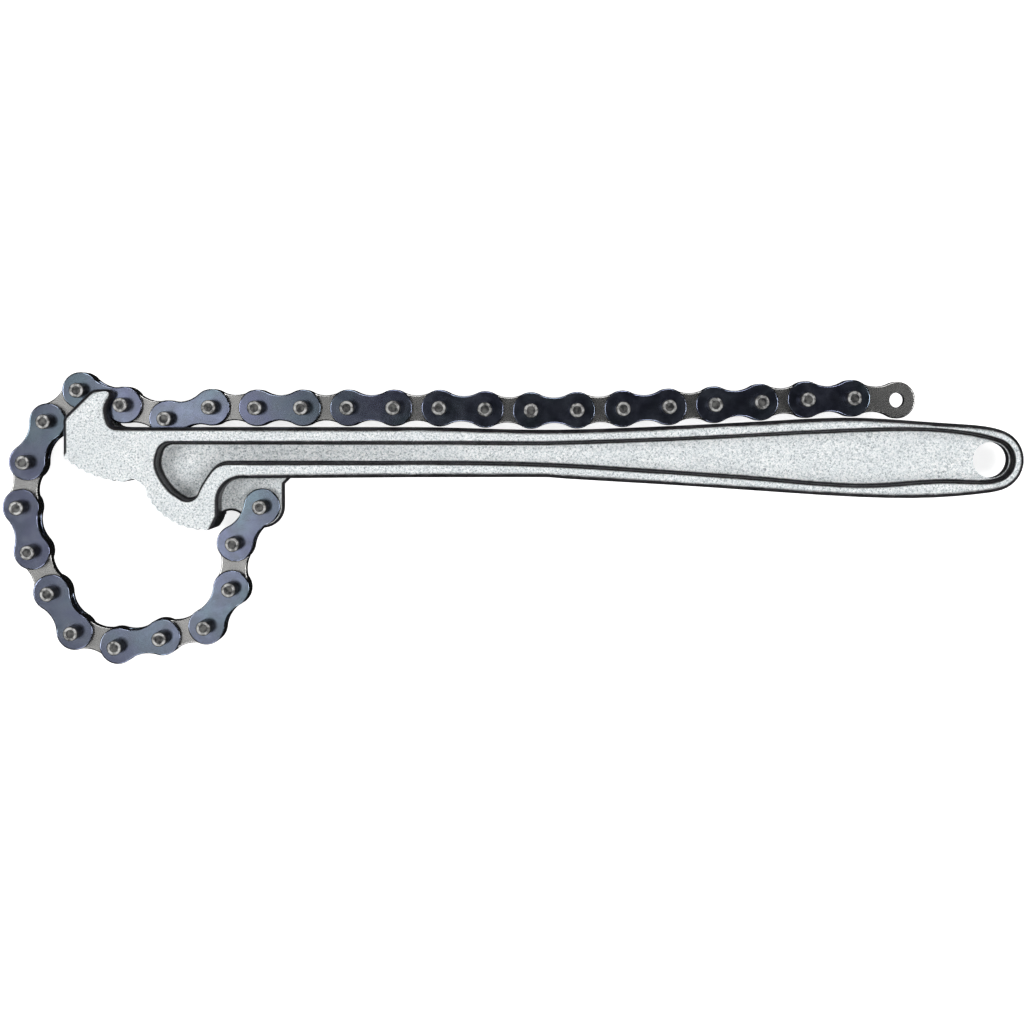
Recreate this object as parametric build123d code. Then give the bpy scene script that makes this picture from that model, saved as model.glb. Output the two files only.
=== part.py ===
"""Chain wrench: one forged handle and a leaf chain of fifteen outer and fifteen inner links.

Millimetres. The origin is the centre of the hang hole at the handle's mid-plane. +X runs along the handle
away from the jaw, +Y points to the side the chain's tail lies on, and +Z is the thickness.
"""

import math
import os

from build123d import *

# Chain
PITCH = 15.875  # five eighths of an inch
LINK_PAIRS = 15  # each pair is an outer link followed by an inner link
DISC_RADIUS = 6.4
WAIST_HALF = 4.4
INNER_PLATE = 2.3
OUTER_PLATE = 2.4
PLATE_GAP = 0.1  # between neighbouring plates, across the chain
PLATE_ROUNDING = 0.45
PIN_RADIUS = 2.55
PIN_LENGTH = 25.6
PIN_CHAMFER = 0.35
PIN_DIMPLE_RADIUS = 1.5
PIN_DIMPLE_DEPTH = 0.35
PRESS_CLEARANCE = 0.005
RUNNING_CLEARANCE = 0.05

# How the chain lies: from the anchor pin round under the jaw, over the nose and into the hook
ANCHOR_PIN = (-253.2, -16.3)
LOOP_HEADINGS = (-126.5, -95, -123.5, -166, -169, 162, 120.5, 115, 103.5, 81.5, 63, 43, -18.5, -17.5, 14.5)
TAIL_GAP = 0.35  # between the tail's plates and the handle's top edge

# Handle forging
HEAD_HALF = 12.0
SHANK_HALF = 8.5
GRIP_HALF = 7.5
WEB_HALF = 3.3
LUG_HALF = 2.4
EDGE_ROUNDING = 1.7
POCKET_EDGE = 1.0
HANG_HOLE_RADIUS = 6.2
END_RADIUS = 10.8
END_TOP_DEGREES = 66  # where the upper edge runs into the rounded end
END_BOTTOM_DEGREES = -62
END_RIM = 3.6  # width of the rim round the hang hole
POCKET_END_DEGREES = 72
CHAIN_SLOT_HALF = 5.45

# Head
NOSE_X = -321.0
TOP_EDGE_Y = 11.3
HOOK_TOP_Y = 24.5
FRONT_JAW_CENTRE = (-298.5, 26.3)
FRONT_JAW_RADIUS = 34.0
FRONT_JAW_ANGLES = (229.8, 265.9)
FRONT_TEETH = 7
REAR_JAW_CENTRE = (-272.5, -1.9)
REAR_JAW_RADIUS = 22.4
REAR_JAW_ANGLES = (209.1, 272.0)
REAR_TEETH = 8
TOOTH_DEPTH = 0.65
ROOT_SHARE = 0.3  # how far along each tooth its root lies

# Lug that holds the chain's first pin
LUG_RADIUS = 7.5
LUG_ROUNDING = 1.2
LUG_LOWER_Y = -20.5
LUG_GUSSET = 2.1  # the small slanted corner between the lug and the shank
NOTCH_CENTRE = (-264.3, -22.8)
NOTCH_RADIUS = 5.0


def polar(centre, radius, degrees):
    """The point at that radius and angle from a centre."""
    angle = math.radians(degrees)
    return (centre[0] + radius * math.cos(angle), centre[1] + radius * math.sin(angle))


def closed_face(*lines):
    """The flat face inside lines that meet end to end."""
    return make_face([edge for line in lines for edge in line.edges()])


# ---------------------------------------------------------------- handle


def top_edge():
    """The handle's upper edge, from behind the hook to the rounded end."""
    return Spline(
        (-200, TOP_EDGE_Y),
        (-160, 10.4),
        (-120, 11.3),
        (-76, 13.5),
        (-46, 14.6),
        (-13, 12.6),
        polar((0, 0), END_RADIUS, END_TOP_DEGREES),
        tangents=[(1, 0), polar((0, 0), 1, END_TOP_DEGREES - 90)],
    )


def bottom_edge():
    """The handle's lower edge, from the rounded end back to the lug."""
    return Spline(
        polar((0, 0), END_RADIUS, END_BOTTOM_DEGREES),
        (-3.5, -11.6),
        (-24, -13.1),
        (-50, -12.6),
        (-100, -9.3),
        (-150, -6.3),
        (-200, -6.0),
        tangents=[polar((0, 0), 1, END_BOTTOM_DEGREES - 90), (-1, 0)],
    )


def body_outline():
    """The forging's silhouette without the lug. The jaw is left oversize, for jaw_cutter to trim."""
    top = top_edge()
    end = ThreePointArc(top @ 1, (END_RADIUS, 0), polar((0, 0), END_RADIUS, END_BOTTOM_DEGREES))
    bottom = bottom_edge()
    arm = Polyline(bottom @ 1, (-259.5, -6.3))
    arm_corner = RadiusArc(arm @ 1, (-267.5, -14.3), -8.0)
    arm_side = Polyline(arm_corner @ 1, (-267.5, -19.5), (-269.5, -23.5), (-273, -27.5), (-292, -24))
    jaw = Polyline(arm_side @ 1, (-300, -12), (-310, -12), (-324, -2), (NOSE_X, 3))
    nose = Polyline(jaw @ 1, (NOSE_X, 13.6), (-320.4, 15.2), (-312.2, 23.2))
    hook_top = Spline(nose @ 1, (-308.2, HOOK_TOP_Y), (-304.0, 22.2), tangents=[(0.7, 0.7), (-0.3, -1)])
    hook_inside = Spline(
        hook_top @ 1,
        (-305.9, 18.0),
        (-305.3, 14.0),
        (-300.6, TOP_EDGE_Y),
        tangents=[(-0.3, -1), (1, 0)],
    )
    valley = Line(hook_inside @ 1, (-200, TOP_EDGE_Y))
    return closed_face(top, end, bottom, arm, arm_corner, arm_side, jaw, nose, hook_top, hook_inside, valley)


def toothed_arc(centre, radius, start, end, count):
    """Tooth tips on an arc, each followed by its root, from the start angle to the end angle."""
    step = (end - start) / count
    points = []
    for i in range(count):
        points.append(polar(centre, radius, start + i * step))
        points.append(polar(centre, radius - TOOTH_DEPTH, start + (i + ROOT_SHARE) * step))
    points.append(polar(centre, radius, end))
    return points


def jaw_cutter():
    """Everything outside the toothed jaw: it trims the oversize blank to two convex rows of teeth."""
    front = Polyline(*toothed_arc(FRONT_JAW_CENTRE, FRONT_JAW_RADIUS, *FRONT_JAW_ANGLES, FRONT_TEETH))
    rear = Polyline(*toothed_arc(REAR_JAW_CENTRE, REAR_JAW_RADIUS, *REAR_JAW_ANGLES, REAR_TEETH))
    throat = Spline(front @ 1, (-296.6, -6.5), (-293.6, -8.4), rear @ 0, tangents=[(1, 0.2), (0.1, -1)])
    tip = Spline(rear @ 1, (-269.6, -23.0), (-268.0, -19.5), tangents=[(1, 0.05), (0.15, 1)])
    outside = Polyline(tip @ 1, (-255, -19.5), (-255, -60), (-340, -60), (-340, 3), (NOSE_X, 3), front @ 0)
    return closed_face(front, throat, rear, tip, outside)


def side_profile():
    """The forging's thickness along its length, seen from the side: thick head, slimmer shank and grip."""
    upper = Spline(
        (-262, HEAD_HALF),
        (-205, SHANK_HALF),
        (-100, GRIP_HALF),
        tangents=[(1, 0), (1, 0)],
    )
    head = Line((-340, HEAD_HALF), upper @ 0)
    grip = Line(upper @ 1, (40, GRIP_HALF))
    lower = [mirror(line, about=Plane.XZ) for line in (head, upper, grip)]
    ends = [Line(head @ 0, lower[0] @ 0), Line(grip @ 1, lower[2] @ 1)]
    return closed_face(head, upper, grip, *lower, *ends)


def pocket_outline():
    """The sunk panel that leaves the handle an I-beam, from the round hole end to the bulb behind the jaw."""
    end_radius = END_RADIUS - END_RIM
    upper = Spline(
        polar((0, 0), end_radius, POCKET_END_DEGREES),
        (-10.6, 9.6),
        (-42, 10.5),
        (-76, 9.0),
        (-110, 7.3),
        (-150, 5.9),
        (-200, 5.9),
        tangents=[(-1, 0.32), (-1, 0)],
    )
    upper_straight = Line(upper @ 1, (-283.6, 6.0))
    corner = RadiusArc(upper_straight @ 1, (-288.4, 2.4), -4.4)
    front = Spline(corner @ 1, (-289.0, -1.5), (-285.4, -9.0), (-280.6, -13.0), tangents=[(-0.3, -1), (1, -0.62)])
    bulb = RadiusArc(front @ 1, (-274.6, -11.4), -3.9)
    back = Spline(bulb @ 1, (-271.8, -6.2), (-264.0, -1.0), tangents=[(0.35, 1), (1, 0)])
    lower_straight = Line(back @ 1, (-200, -1.0))
    lower = Spline(
        lower_straight @ 1,
        (-150, -1.9),
        (-110, -4.4),
        (-76, -6.8),
        (-40, -8.8),
        (-12, -7.4),
        polar((0, 0), end_radius, -POCKET_END_DEGREES),
        tangents=[(1, 0), (1, 0.32)],
    )
    end = ThreePointArc(lower @ 1, (end_radius, 0), upper @ 0)
    return closed_face(upper, upper_straight, corner, front, bulb, back, lower_straight, lower, end)


def chain_slot():
    """The gap between the head's two cheeks, which the chain's plates pass through on their way to the hook."""
    outline = Polyline(
        (-325, 10.0),
        (-296, 10.0),
        (-291.5, 7.5),
        (-281.5, 7.5),
        (-271.5, 12.5),
        (-271.5, 30),
        (-325, 30),
        close=True,
    )
    return extrude(make_face(outline), CHAIN_SLOT_HALF, both=True)


def lug():
    """The thin tab below the shank that the first outer link straddles, with a round notch beside the arm."""
    x, y = ANCHOR_PIN
    right = x + LUG_RADIUS
    tab = make_face(
        Polyline(
            (-275, -2),
            (right + LUG_GUSSET, -2),
            (right + LUG_GUSSET, -6.4),
            (right, -6.4 - LUG_GUSSET),
            (right, y),
            (x, LUG_LOWER_Y),
            (-275, LUG_LOWER_Y),
            close=True,
        )
    )
    tab += Pos(x, y) * Circle(LUG_RADIUS)
    tab -= Pos(*NOTCH_CENTRE) * Circle(NOTCH_RADIUS)
    body = extrude(tab, LUG_HALF, both=True)
    return fillet(face_rims(body), LUG_ROUNDING)


def blank_forging():
    """The drafted blank: the outline at its varying thickness, with every long edge rounded except at the jaw."""
    body = extrude(body_outline(), HEAD_HALF, both=True) & extrude(Plane.XZ * side_profile(), 60, both=True)
    edges = [e for e in face_rims(body) if not (e.center().X < -268.5 and e.center().Y < -1)]
    return fillet(edges, EDGE_ROUNDING)


def face_rims(body):
    """The edges between the top or bottom faces and the side walls."""
    walls = [f for f in body.faces() if abs(f.normal_at().Z) < 0.5]
    flats = [f for f in body.faces() if abs(f.normal_at().Z) > 0.9]
    wall_edges = [e for f in walls for e in f.edges()]
    return [e for f in flats for e in f.edges() if any(e.is_same(w) for w in wall_edges)]


def sink_pockets(body):
    """The I-beam's two pockets, with a rounded rim and a rounded floor edge."""
    for side in (1, -1):
        floor = Pos(0, 0, side * WEB_HALF) * pocket_outline()
        panel = extrude(floor, side * HEAD_HALF)
        panel = fillet(panel.edges().group_by(Axis.Z)[0 if side > 0 else -1], POCKET_EDGE)
        sunk = body - panel
        rim = new_edges(body, panel, combined=sunk)
        body = fillet(rim, POCKET_EDGE)
    return body


def handle():
    """The whole forging: drafted head and I-beam shank, lug, teeth, chain slot, bores and pockets."""
    body = sink_pockets(blank_forging())
    body += lug()
    body -= extrude(jaw_cutter(), 2 * HEAD_HALF, both=True)
    body -= chain_slot()
    body -= Cylinder(HANG_HOLE_RADIUS, 4 * HEAD_HALF)
    body -= Pos(*ANCHOR_PIN) * Cylinder(PIN_RADIUS + RUNNING_CLEARANCE, 4 * HEAD_HALF)
    return body


# ---------------------------------------------------------------- chain


def pin_places():
    """The centres of all thirty pins and of the open hole at the free end, from the anchor along the chain."""
    places = [ANCHOR_PIN]
    for heading in LOOP_HEADINGS:
        places.append(polar(places[-1], PITCH, heading))
    edge = Line((-300, TOP_EDGE_Y), (-200, TOP_EDGE_Y)) + top_edge()
    while len(places) <= 2 * LINK_PAIRS:
        places.append(polar(places[-1], PITCH, resting_heading(places[-1], edge)))
    return places


def resting_heading(pin, edge):
    """The heading at which the link after a pin comes to rest just above the handle's top edge."""
    low, high = -30.0, 30.0
    for _ in range(30):
        middle = (low + high) / 2
        lifted = edge.distance_to(Vector(*polar(pin, PITCH, middle))) > DISC_RADIUS + TAIL_GAP
        low, high = (low, middle) if lifted else (middle, high)
    return high


def plate_outline():
    """A link plate: two round ends joined by a waist, with its holes one pitch apart along +X."""
    half = PITCH / 2
    waist_radius = (half**2 + WAIST_HALF**2 - DISC_RADIUS**2) / (2 * (DISC_RADIUS - WAIST_HALF))
    waist_y = WAIST_HALF + waist_radius
    share = DISC_RADIUS / (DISC_RADIUS + waist_radius)
    touch_x, touch_y = half * share, waist_y * share
    return closed_face(
        ThreePointArc((touch_x, touch_y), (-DISC_RADIUS, 0), (touch_x, -touch_y)),
        ThreePointArc((touch_x, -touch_y), (half, -WAIST_HALF), (PITCH - touch_x, -touch_y)),
        ThreePointArc((PITCH - touch_x, -touch_y), (PITCH + DISC_RADIUS, 0), (PITCH - touch_x, touch_y)),
        ThreePointArc((PITCH - touch_x, touch_y), (half, WAIST_HALF), (touch_x, touch_y)),
    )


def plate(thickness, hole_radius):
    """One stamped plate, its lower face at z = 0, with rounded edges and two pin holes."""
    blank = extrude(plate_outline(), thickness)
    rims = blank.edges().group_by(Axis.Z)
    blank = fillet(rims[0] + rims[-1], PLATE_ROUNDING)
    for x in (0, PITCH):
        blank -= Pos(x, 0, thickness / 2) * Cylinder(hole_radius, 2 * thickness)
    return blank


def pin():
    """One extended pin on the Z axis, chamfered, with the shallow dimple of its riveting in each end."""
    body = Cylinder(PIN_RADIUS, PIN_LENGTH)
    ends = body.edges().filter_by(GeomType.CIRCLE)
    body = chamfer(ends, PIN_CHAMFER)
    for side in (1, -1):
        body -= Pos(0, 0, side * PIN_LENGTH / 2) * Cylinder(PIN_DIMPLE_RADIUS, 2 * PIN_DIMPLE_DEPTH)
    return body


def link_frame(start, end):
    """The placement of a link whose first pin is at start and whose second is towards end."""
    heading = math.degrees(math.atan2(end[1] - start[1], end[0] - start[0]))
    return Pos(*start) * Rot(0, 0, heading)


def mirrored_plates(thickness, inner_z, hole_radius):
    """The near and the far plate of a link, whose inner faces lie at plus and minus inner_z."""
    one = plate(thickness, hole_radius)
    return [Pos(0, 0, inner_z) * one, Pos(0, 0, -inner_z - thickness) * one]


def chain_nodes():
    """Every chain node by name, each a list of separate solids where it lies."""
    places = pin_places()
    inner = mirrored_plates(INNER_PLATE, PLATE_GAP / 2, PIN_RADIUS + RUNNING_CLEARANCE)
    outer_z = PLATE_GAP / 2 + INNER_PLATE + PLATE_GAP
    outer = mirrored_plates(OUTER_PLATE, outer_z, PIN_RADIUS + PRESS_CLEARANCE)
    pins = [Pos(x, 0, 0) * pin() for x in (0, PITCH)]
    nodes = {}
    for pair in range(LINK_PAIRS):
        first, second, third = places[2 * pair : 2 * pair + 3]
        outer_frame = link_frame(first, second)
        inner_frame = link_frame(second, third)
        name = f"{pair + 1:02d}"
        nodes[f"outer_link_{name}_plates"] = [outer_frame * solid for solid in outer]
        nodes[f"outer_link_{name}_pins"] = [outer_frame * solid for solid in pins]
        nodes[f"inner_link_{name}_plates"] = [inner_frame * solid for solid in inner]
    return nodes


def main():
    """Writes one STEP file for each node."""
    os.makedirs("parts", exist_ok=True)
    export_step(handle(), "parts/handle.step")
    for name, solids in chain_nodes().items():
        export_step(Compound(children=solids), f"parts/{name}.step")


main()
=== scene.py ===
"""A chain wrench lying flat: bright plated forging, blue-black leaf chain hooked over its nose."""

import bpy
from mathutils import Matrix, Vector


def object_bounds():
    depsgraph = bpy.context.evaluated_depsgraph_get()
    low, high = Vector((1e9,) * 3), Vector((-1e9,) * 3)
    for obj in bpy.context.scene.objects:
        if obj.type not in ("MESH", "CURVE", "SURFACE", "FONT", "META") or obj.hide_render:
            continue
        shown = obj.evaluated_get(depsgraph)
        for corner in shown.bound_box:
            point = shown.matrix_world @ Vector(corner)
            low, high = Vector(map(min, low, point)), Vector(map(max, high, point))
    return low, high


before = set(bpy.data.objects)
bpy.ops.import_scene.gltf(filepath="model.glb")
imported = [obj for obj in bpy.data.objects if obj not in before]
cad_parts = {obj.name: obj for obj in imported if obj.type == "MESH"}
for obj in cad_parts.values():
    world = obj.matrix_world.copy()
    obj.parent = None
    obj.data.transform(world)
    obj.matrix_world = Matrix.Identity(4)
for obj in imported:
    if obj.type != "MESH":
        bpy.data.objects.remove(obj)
cad_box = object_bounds()

MM = 0.001

# Camera: straight above a point over the shank, tipped a little towards the middle of the tool
CAMERA_PLACE = Vector((-154.7, 19.1, 840.0)) * MM
CAMERA_AIM = Vector((-166.2, -18.3, 0.0)) * MM
CAMERA_LENS = 84.6
CAMERA_SENSOR = 36.0
CAMERA_NEAR = 0.05
CAMERA_FAR = 20.0

FLOOR_SIZE = 12.0
FLOOR_GAP = 0.0002

# Light: metres and watts. The key hangs where the loop mirrors it; the boxes stand round the tool
ROOM_COLOUR = (0.95, 0.97, 1.0, 1.0)
ROOM_STRENGTH = 0.02
BACKDROP_STRENGTH = 1.0
KEY_X, KEY_Y, KEY_HEIGHT = -0.43, -0.045, 0.95
KEY_SIZE, KEY_WATTS = (0.135, 0.25), 0.165
HALO_SIZE, HALO_WATTS = (0.24, 0.38), 0.06
TOOL_MIDDLE = (-0.15, 0.0, 0.0)
BOX_SIZE = (0.8, 0.8)
BOX_HEIGHT = 1.5
LEFT_BOX_X, RIGHT_BOX_X, END_BOX_WATTS = -1.5, 1.2, 16.5
SIDE_BOX_Y, SIDE_BOX_WATTS = 1.2, 10.0

DIMPLE_TOP = 0.01265  # the pins' end faces lie above this height, the dimples' floors below it


# ---------------------------------------------------------------- node helpers


class Shader:
    """A material's node tree, with short helpers for the nodes used here."""

    def __init__(self, name):
        self.material = bpy.data.materials.new(name)
        self.material.use_nodes = True
        self.tree = self.material.node_tree
        self.bsdf = self.tree.nodes["Principled BSDF"]
        self.place = self.node("ShaderNodeTexCoord").outputs["Object"]

    def node(self, kind, **settings):
        made = self.tree.nodes.new(kind)
        for key, value in settings.items():
            setattr(made, key, value)
        return made

    def link(self, source, target):
        self.tree.links.new(source, target)

    def set(self, **sockets):
        """Constants, on the shader's own sockets."""
        for key, value in sockets.items():
            self.bsdf.inputs[key.replace("_", " ")].default_value = value

    def noise(self, size_mm, detail=3.0, roughness=0.55, distortion=0.0):
        """Noise whose features are about size_mm across."""
        made = self.node("ShaderNodeTexNoise")
        made.inputs["Scale"].default_value = 1.0 / (size_mm * MM)
        made.inputs["Detail"].default_value = detail
        made.inputs["Roughness"].default_value = roughness
        made.inputs["Distortion"].default_value = distortion
        self.link(self.place, made.inputs["Vector"])
        return made.outputs["Fac"]

    def ramp(self, value, stops):
        """Colours or greys along a value; stops is a list of (position, colour)."""
        made = self.node("ShaderNodeValToRGB")
        ramp = made.color_ramp
        while len(ramp.elements) < len(stops):
            ramp.elements.new(0.5)
        for element, (position, colour) in zip(ramp.elements, stops):
            element.position = position
            element.color = colour if len(colour) == 4 else (*colour, 1.0)
        self.link(value, made.inputs["Fac"])
        return made.outputs["Color"]

    def remap(self, value, low, high, to_low, to_high):
        made = self.node("ShaderNodeMapRange")
        limits = {"From Min": low, "From Max": high, "To Min": to_low, "To Max": to_high}
        for key, number in limits.items():
            made.inputs[key].default_value = number
        self.link(value, made.inputs["Value"])
        return made.outputs["Result"]

    def mix(self, factor, first, second, blend="MIX"):
        made = self.node("ShaderNodeMix", data_type="RGBA", blend_type=blend)
        sockets = (made.inputs[0], made.inputs[6], made.inputs[7])
        for socket, value in zip(sockets, (factor, first, second)):
            if isinstance(value, bpy.types.NodeSocket):
                self.link(value, socket)
            else:
                socket.default_value = value
        return made.outputs[2]

    def math(self, operation, first, second=0.5):
        made = self.node("ShaderNodeMath", operation=operation)
        for socket, value in zip(made.inputs, (first, second)):
            if isinstance(value, bpy.types.NodeSocket):
                self.link(value, socket)
            else:
                socket.default_value = value
        return made.outputs[0]

    def bump(self, layers):
        """Stacked bumps: each layer is (height socket, strength, distance in mm)."""
        normal = None
        for height, strength, distance in layers:
            made = self.node("ShaderNodeBump")
            made.inputs["Strength"].default_value = strength
            made.inputs["Distance"].default_value = distance * MM
            self.link(height, made.inputs["Height"])
            if normal is not None:
                self.link(normal, made.inputs["Normal"])
            normal = made.outputs["Normal"]
        self.link(normal, self.bsdf.inputs["Normal"])

    def steepness(self):
        """0 on faces that look along Z, 1 on the side walls, in the object's own axes."""
        geometry = self.node("ShaderNodeTexCoord").outputs["Normal"]
        split = self.node("ShaderNodeSeparateXYZ")
        self.link(geometry, split.inputs[0])
        return self.math("SUBTRACT", 1.0, self.math("ABSOLUTE", split.outputs["Z"]))


# ---------------------------------------------------------------- materials


def forged_plate():
    """Bright-plated drop forging: fine pitted grain on the faces, painted dark reflection on the
    steep walls.
    """
    m = Shader("forged_plate")
    grain = m.noise(0.6, detail=5.0, roughness=0.7, distortion=0.6)
    clouds = m.noise(14.0, detail=3.0)
    scuffs = m.noise(4.5, detail=4.0, roughness=0.65)
    fine = m.noise(0.3, detail=2.0)
    dents = m.noise(2.2, detail=2.0, roughness=0.5, distortion=0.8)
    pitted = [(0.36, (0.27, 0.30, 0.32)), (0.48, (0.74, 0.79, 0.805)), (0.60, (1.0, 1.0, 1.0))]
    face = m.ramp(grain, pitted)
    face = m.mix(m.remap(clouds, 0.38, 0.68, 0.0, 0.22), face, (0.56, 0.62, 0.655, 1.0))
    face = m.mix(m.remap(scuffs, 0.60, 0.72, 0.0, 0.35), face, (0.48, 0.50, 0.51, 1.0))
    # painted shade: the steep walls are painted near-black, standing in for their dark reflection
    painted_wall_shade = m.ramp(scuffs, [(0.35, (0.012, 0.012, 0.014)), (0.65, (0.040, 0.038, 0.042))])
    wall = m.remap(m.steepness(), 0.006, 0.08, 0.0, 1.0)
    m.link(m.mix(wall, face, painted_wall_shade), m.bsdf.inputs["Base Color"])
    m.link(m.remap(grain, 0.3, 0.7, 0.50, 0.30), m.bsdf.inputs["Roughness"])
    m.set(Metallic=0.45)
    m.bump([(clouds, 0.25, 0.5), (dents, 0.8, 0.6), (grain, 1.0, 0.28), (fine, 0.3, 0.05)])
    return m.material


def blued_plate():
    """Heat-treated blue-black oxide with fine rolling grain, and painted shade on the stamped edge
    walls.
    """
    m = Shader("blued_plate")
    clouds = m.noise(22.0, detail=3.0)
    patches = m.noise(5.0, detail=4.0, roughness=0.6)
    fine = m.noise(0.5, detail=3.0)
    blues = [(0.38, (0.21, 0.23, 0.345)), (0.52, (0.23, 0.265, 0.36)), (0.66, (0.225, 0.30, 0.36))]
    oxide = m.ramp(clouds, blues)
    oxide = m.mix(m.remap(patches, 0.45, 0.7, 0.0, 0.4), oxide, (0.30, 0.33, 0.38, 1.0))
    oxide = m.mix(m.remap(fine, 0.3, 0.7, 0.0, 0.25), oxide, (0.13, 0.14, 0.19, 1.0))
    # painted shade: the steep edge walls are painted near-black
    shaded_edge = m.remap(m.steepness(), 0.06, 0.3, 0.0, 0.9)
    m.link(m.mix(shaded_edge, oxide, (0.03, 0.032, 0.04, 1.0)), m.bsdf.inputs["Base Color"])
    m.link(m.remap(patches, 0.3, 0.7, 0.16, 0.24), m.bsdf.inputs["Roughness"])
    m.set(Metallic=1.0)
    m.bump([(patches, 0.03, 0.05), (fine, 0.10, 0.01)])
    return m.material


def grey_plate():
    """Oiled grey steel of the inner plates, with painted shade on the steep edge walls."""
    m = Shader("grey_plate")
    clouds = m.noise(6.0, detail=4.0)
    fine = m.noise(0.4, detail=3.0)
    steel = m.ramp(clouds, [(0.3, (0.42, 0.42, 0.415)), (0.7, (0.56, 0.555, 0.545))])
    # painted shade: the steep edge walls are painted near-black
    shaded_edge = m.remap(m.steepness(), 0.06, 0.3, 0.0, 0.9)
    m.link(m.mix(shaded_edge, steel, (0.035, 0.035, 0.036, 1.0)), m.bsdf.inputs["Base Color"])
    m.link(m.remap(fine, 0.3, 0.7, 0.30, 0.22), m.bsdf.inputs["Roughness"])
    m.set(Metallic=1.0)
    m.bump([(clouds, 0.04, 0.05), (fine, 0.15, 0.015)])
    return m.material


def pin_steel():
    """Ground pin: a bright rubbed rim round each end, painted shade in the riveting dimple and
    painted dark reflection on the shaft.
    """
    m = Shader("pin_steel")
    fine = m.noise(0.3, detail=3.0)
    clouds = m.noise(1.6, detail=3.0)
    end = m.ramp(clouds, [(0.38, (0.12, 0.12, 0.12)), (0.60, (0.66, 0.66, 0.65))])
    split = m.node("ShaderNodeSeparateXYZ")
    m.link(m.place, split.inputs[0])
    height = m.math("ABSOLUTE", split.outputs["Z"])
    dimple = m.math("LESS_THAN", height, DIMPLE_TOP)
    # painted shade: the recessed dimple floor is painted dark
    dimple_painted_shade = m.ramp(clouds, [(0.38, (0.03, 0.03, 0.032)), (0.62, (0.17, 0.17, 0.165))])
    end = m.mix(dimple, end, dimple_painted_shade)
    # painted dark reflection and shade: the steep shaft sides are painted near-black
    shaft_shade_mask = m.remap(m.steepness(), 0.4, 0.7, 0.0, 1.0)
    m.link(m.mix(shaft_shade_mask, end, (0.018, 0.018, 0.02, 1.0)), m.bsdf.inputs["Base Color"])
    m.link(m.remap(fine, 0.3, 0.7, 0.40, 0.26), m.bsdf.inputs["Roughness"])
    m.set(Metallic=0.45)
    m.bump([(clouds, 0.4, 0.1), (fine, 0.3, 0.03)])
    return m.material


def floor_white():
    m = Shader("floor_white")
    m.set(Base_Color=(0.9, 0.9, 0.9, 1.0), Roughness=0.9)
    m.set(Emission_Color=(1, 1, 1, 1), Emission_Strength=0.8)
    return m.material


# ---------------------------------------------------------------- stage


def make_floor(lowest):
    """A plain pale floor just under the object."""
    mesh = bpy.data.meshes.new("floor")
    half = FLOOR_SIZE / 2
    z = lowest - FLOOR_GAP
    corners = [(-half, -half, z), (half, -half, z), (half, half, z), (-half, half, z)]
    mesh.from_pydata(corners, [], [(0, 1, 2, 3)])
    floor = bpy.data.objects.new("floor", mesh)
    bpy.context.scene.collection.objects.link(floor)
    floor.data.materials.append(floor_white())
    floor.visible_glossy = False


def make_camera():
    camera = bpy.data.objects.new("camera", bpy.data.cameras.new("camera"))
    bpy.context.scene.collection.objects.link(camera)
    forward = (CAMERA_AIM - CAMERA_PLACE).normalized()
    right = forward.cross(Vector((0, 1, 0))).normalized()
    up = right.cross(forward)
    rotation = Matrix((right, up, -forward)).transposed().to_4x4()
    camera.matrix_world = Matrix.Translation(CAMERA_PLACE) @ rotation
    camera.data.lens = CAMERA_LENS
    camera.data.sensor_width = CAMERA_SENSOR
    camera.data.clip_start = CAMERA_NEAR
    camera.data.clip_end = CAMERA_FAR
    bpy.context.scene.camera = camera


def area_light(name, place, aim, size, watts, shape="RECTANGLE"):
    light = bpy.data.lights.new(name, "AREA")
    light.shape = shape
    light.size, light.size_y = size
    light.energy = watts
    lamp = bpy.data.objects.new(name, light)
    bpy.context.scene.collection.objects.link(lamp)
    lamp.location = place
    lamp.rotation_mode = "QUATERNION"
    lamp.rotation_quaternion = (Vector(aim) - Vector(place)).to_track_quat("-Z", "Y")


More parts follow.
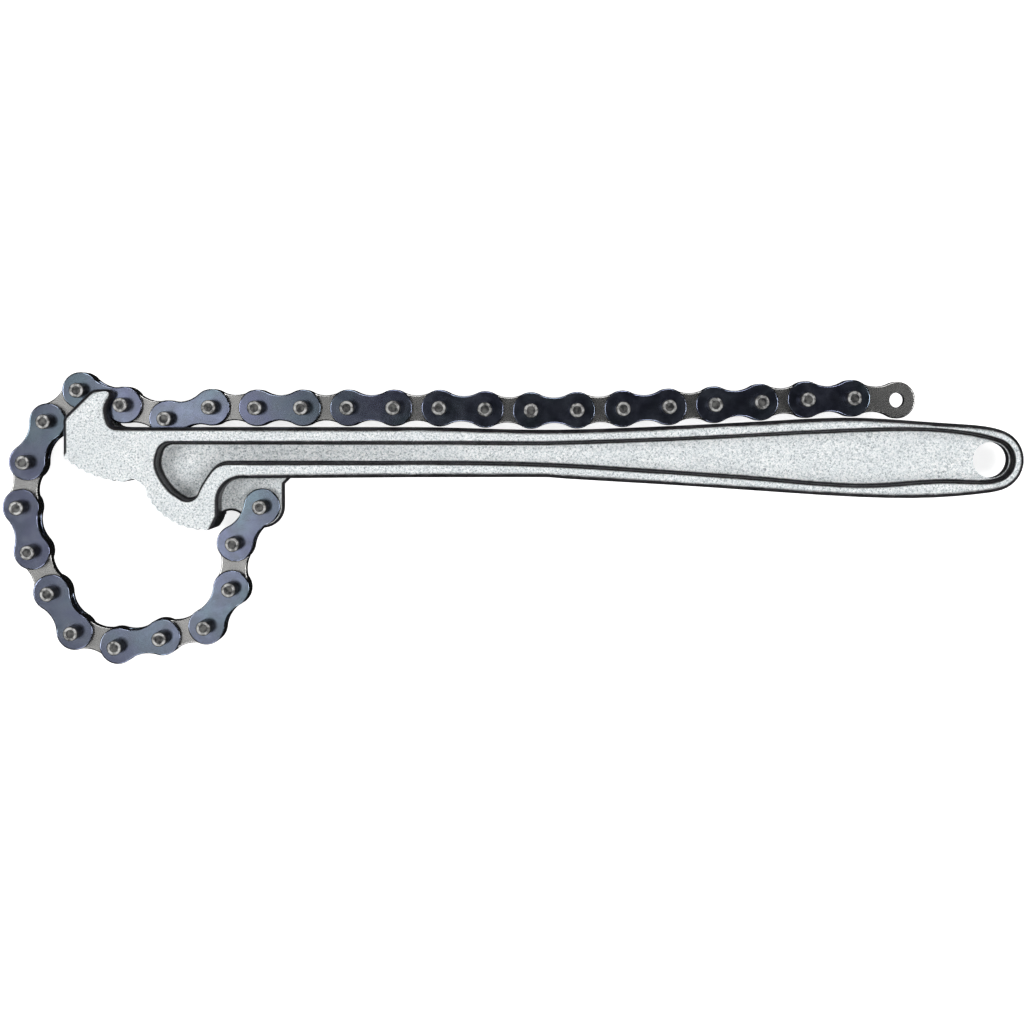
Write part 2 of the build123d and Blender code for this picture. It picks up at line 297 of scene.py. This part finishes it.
def make_world():
    """A dim room, so that the polished chain reflects darkness, behind a pale backdrop."""
    world = bpy.data.worlds.new("studio")
    bpy.context.scene.world = world
    world.use_nodes = True
    nodes = world.node_tree.nodes
    background = nodes["Background"]
    background.inputs["Color"].default_value = ROOM_COLOUR
    background.inputs["Strength"].default_value = ROOM_STRENGTH
    backdrop = nodes.new("ShaderNodeBackground")
    backdrop.inputs["Strength"].default_value = BACKDROP_STRENGTH
    seen_directly = nodes.new("ShaderNodeLightPath").outputs["Is Camera Ray"]
    choose = nodes.new("ShaderNodeMixShader")
    sources = (seen_directly, background.outputs[0], backdrop.outputs[0])
    for socket, source in zip(choose.inputs, sources):
        world.node_tree.links.new(source, socket)
    world.node_tree.links.new(choose.outputs[0], nodes["World Output"].inputs["Surface"])


def make_lights():
    """A soft overhead key that the chain's loop mirrors, and boxes that light the matt forging."""
    make_world()
    key_place = (KEY_X, KEY_Y, KEY_HEIGHT)
    below_key = (KEY_X, KEY_Y, 0.0)
    area_light("key", key_place, below_key, KEY_SIZE, KEY_WATTS, shape="ELLIPSE")
    area_light("key_halo", key_place, below_key, HALO_SIZE, HALO_WATTS, shape="ELLIPSE")
    for name, x in (("left", LEFT_BOX_X), ("right", RIGHT_BOX_X)):
        area_light(name, (x, 0.0, BOX_HEIGHT), TOOL_MIDDLE, BOX_SIZE, END_BOX_WATTS)
    for name, y in (("upper", SIDE_BOX_Y), ("lower", -SIDE_BOX_Y)):
        area_light(name, (TOOL_MIDDLE[0], y, BOX_HEIGHT), TOOL_MIDDLE, BOX_SIZE, SIDE_BOX_WATTS)


def set_colours():
    """Plain colour handling, so that a white floor stays white."""
    view = bpy.context.scene.view_settings
    view.view_transform = "Standard"
    view.look = "None"
    view.exposure = 0.0


# ---------------------------------------------------------------- the object


def finish_node(name, material):
    """Gives a CAD node its material."""
    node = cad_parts[name]
    node.data.materials.clear()
    node.data.materials.append(material)


def finish_cad_nodes():
    handle = forged_plate()
    outer = blued_plate()
    inner = grey_plate()
    pins = pin_steel()
    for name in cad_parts:
        if name == "handle":
            finish_node(name, handle)
        elif name.endswith("_pins"):
            finish_node(name, pins)
        elif name.startswith("outer_link"):
            finish_node(name, outer)
        else:
            finish_node(name, inner)


finish_cad_nodes()
make_floor(cad_box[0].z)
make_camera()
make_lights()
set_colours()
